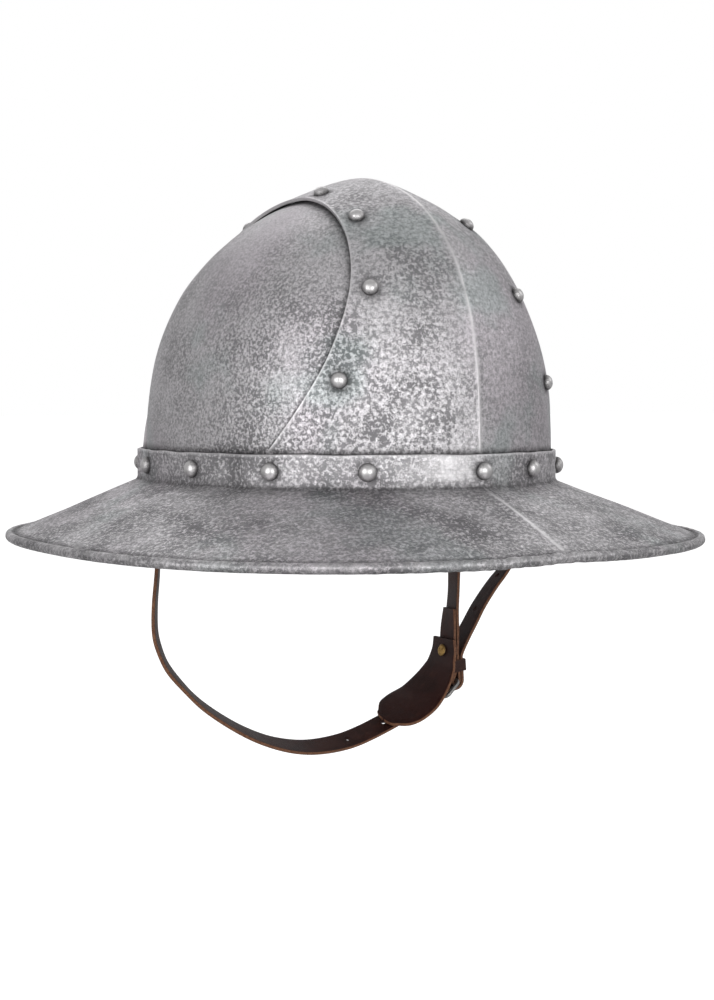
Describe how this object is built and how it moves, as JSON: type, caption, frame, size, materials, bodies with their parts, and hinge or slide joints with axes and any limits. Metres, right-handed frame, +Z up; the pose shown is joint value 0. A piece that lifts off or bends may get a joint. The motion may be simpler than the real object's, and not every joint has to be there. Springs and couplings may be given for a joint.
{
  "type": "kettle hat",
  "caption": "Riveted steel kettle hat with a ridged centre plate over two side plates, a wide sloping brim with a rolled edge, and a buckled leather chin strap.",
  "frame": {"origin": "middle of the head opening, level with the foot of the band, where the hat sits on a head", "axes": "+Z up through the top of the crown, -Y to the front of the hat, +X to the wearer's left"},
  "size_m": [0.3456, 0.3534, 0.3124],
  "materials": {
    "centre_steel": "antiqued, mottled",
    "side_steel": "antiqued, mottled",
    "brim_steel": "antiqued, darker, mottled",
    "rivet_steel": "polished domes",
    "strap_leather": "dark brown with tan cut edges",
    "pad_leather": "dark brown with tan cut edges",
    "brass": "worn",
    "buckle_iron": "dull grey"
  },
  "bodies": {
    "root": {"centre_plate": "centre_steel", "side_plate_right": "side_steel", "side_plate_left": "side_steel", "brim": "brim_steel", "crown_rivet_01": "rivet_steel", "crown_rivet_02": "rivet_steel", "crown_rivet_03": "rivet_steel", "crown_rivet_04": "rivet_steel", "crown_rivet_05": "rivet_steel", "crown_rivet_06": "rivet_steel", "crown_rivet_07": "rivet_steel", "crown_rivet_08": "rivet_steel", "crown_rivet_09": "rivet_steel", "crown_rivet_10": "rivet_steel", "crown_rivet_11": "rivet_steel", "crown_rivet_12": "rivet_steel", "crown_rivet_13": "rivet_steel", "crown_rivet_14": "rivet_steel", "crown_rivet_15": "rivet_steel", "crown_rivet_16": "rivet_steel", "band_rivet_01": "rivet_steel", "band_rivet_02": "rivet_steel", "band_rivet_03": "rivet_steel", "band_rivet_04": "rivet_steel", "band_rivet_05": "rivet_steel", "band_rivet_06": "rivet_steel", "band_rivet_07": "rivet_steel", "band_rivet_08": "rivet_steel", "band_rivet_09": "rivet_steel", "band_rivet_10": "rivet_steel", "band_rivet_11": "rivet_steel", "band_rivet_12": "rivet_steel", "band_rivet_13": "rivet_steel", "band_rivet_14": "rivet_steel", "chin_strap": "strap_leather", "buckle_strap": "strap_leather", "buckle_pad": "pad_leather", "buckle_frame": "buckle_iron", "buckle_prong": "buckle_iron", "strap_keeper": "strap_leather", "pad_rivet": "brass"}
  },
  "joints": []
}
